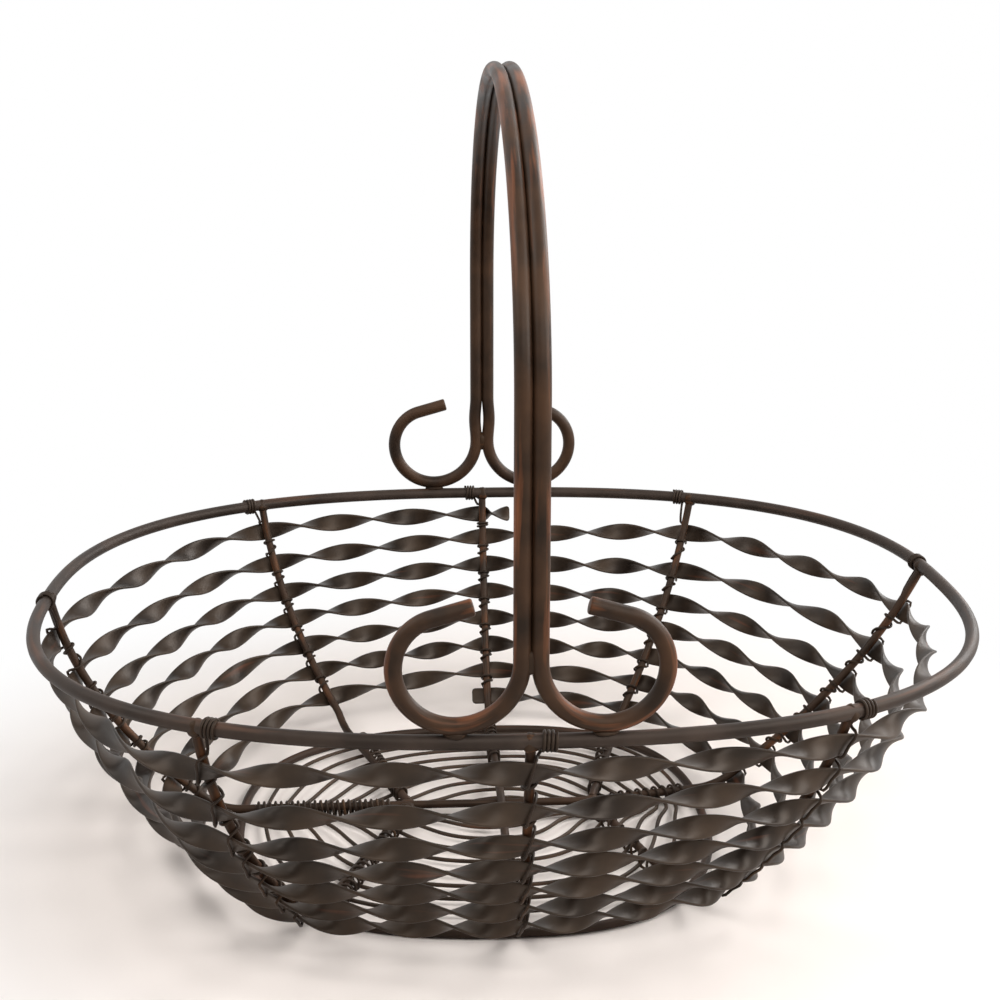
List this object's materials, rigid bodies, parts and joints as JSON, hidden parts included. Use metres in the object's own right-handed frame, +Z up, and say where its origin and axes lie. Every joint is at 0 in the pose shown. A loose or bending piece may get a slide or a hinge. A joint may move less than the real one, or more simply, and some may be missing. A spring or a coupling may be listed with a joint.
{
  "type": "wire basket",
  "caption": "Oval open basket of wire ribs wound with a twisted flat strip, with a coiled wire floor, a foot ring and a tall arched handle that ends in scrolls on the rim.",
  "frame": {"origin": "on the ground under the middle of the basket's box, the underside of the foot ring at z = 0", "axes": "+X to the right along the basket's length, +Y to the back along the handle's arch, +Z up"},
  "size_m": [0.4084, 0.3605, 0.3392],
  "materials": {
    "rim_iron": "satin grey-brown patina, rubbed lighter on top",
    "foot_iron": "satin dark brown patina",
    "rib_iron": "satin dark brown patina with a coppery tint",
    "coil_iron": "satin grey-brown patina",
    "strip_iron": "satin bronze-brown patina with reddish rub marks",
    "lashing_wire": "satin brown, coppery where it bends",
    "handle_iron": "satin dark brown patina with orange-brown rub on the edges"
  },
  "bodies": {
    "root": {"rim_ring": "rim_iron", "foot_ring": "foot_iron", "rib_long": "rib_iron", "rib_cross": "rib_iron", "rib_back_right": "rib_iron", "rib_back_left": "rib_iron", "rib_front_left": "rib_iron", "rib_front_right": "rib_iron", "floor_coil": "coil_iron", "twisted_strip": "strip_iron", "lashing_right": "lashing_wire", "lashing_back_right": "lashing_wire", "lashing_back": "lashing_wire", "lashing_back_left": "lashing_wire", "lashing_left": "lashing_wire", "lashing_front_left": "lashing_wire", "lashing_front": "lashing_wire", "lashing_front_right": "lashing_wire", "handle_wire_right": "handle_iron", "handle_wire_left": "handle_iron"}
  },
  "joints": []
}
